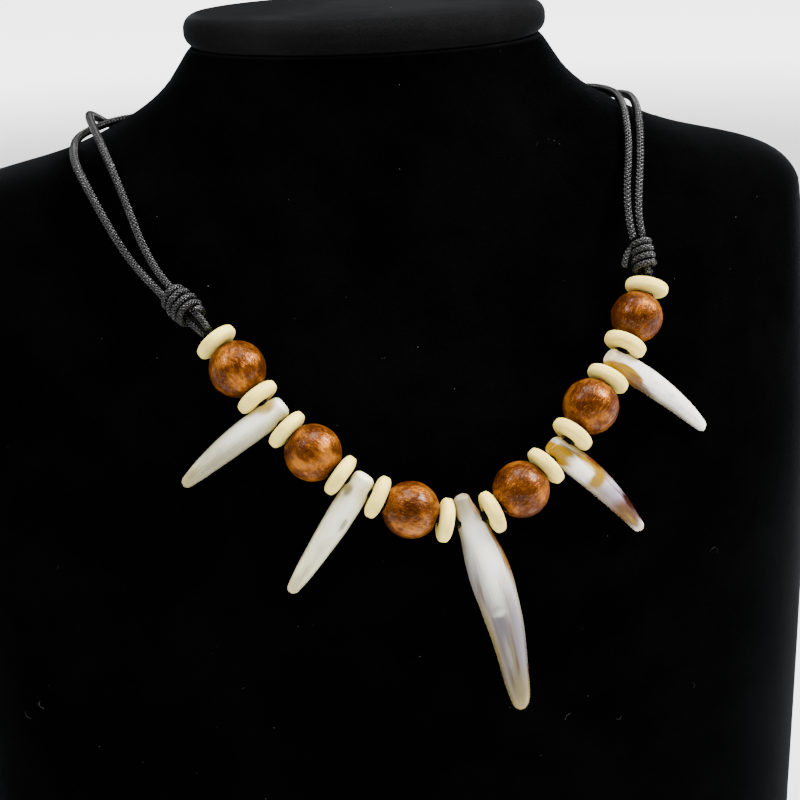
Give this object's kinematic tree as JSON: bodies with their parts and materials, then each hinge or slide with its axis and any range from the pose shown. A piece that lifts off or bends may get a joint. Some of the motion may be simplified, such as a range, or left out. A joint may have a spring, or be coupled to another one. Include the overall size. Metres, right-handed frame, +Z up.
{
  "type": "wolf tooth necklace on neck bust",
  "caption": "Adjustable cord necklace with curved tooth pendants between round wooden beads and pale discs, draped on a black velvet neck bust.",
  "frame": {"origin": "on the bust's flat base, straight below the middle of the neck", "axes": "+Z up, the chest and the necklace face -Y, +X to the right of someone who looks at the chest"},
  "size_m": [0.2124, 0.1147, 0.225],
  "materials": {
    "velvet": "flocked velvet, matt black with a few specks of lint",
    "wood": "lacquered orange-brown wood with fine grain",
    "ivory": "satin ivory",
    "tooth_shell": "polished white with amber, brown and lilac stains",
    "waxed_cord": "black waxed braid"
  },
  "bodies": {
    "root": {"bust_body": "velvet", "bust_cap": "velvet", "bead_round_1": "wood", "bead_round_2": "wood", "bead_round_3": "wood", "bead_round_4": "wood", "bead_round_5": "wood", "bead_round_6": "wood", "bead_disc_1": "ivory", "bead_disc_2": "ivory", "bead_disc_3": "ivory", "bead_disc_4": "ivory", "bead_disc_5": "ivory", "bead_disc_6": "ivory", "bead_disc_7": "ivory", "bead_disc_8": "ivory", "bead_disc_9": "ivory", "bead_disc_10": "ivory", "bead_disc_11": "ivory", "bead_disc_12": "ivory", "tooth_1": "tooth_shell", "tooth_2": "tooth_shell", "tooth_3": "tooth_shell", "tooth_4": "tooth_shell", "tooth_5": "tooth_shell", "thread": "waxed_cord", "knot_left": "waxed_cord", "knot_right": "waxed_cord", "cord_a": "waxed_cord", "cord_b": "waxed_cord"}
  },
  "joints": []
}
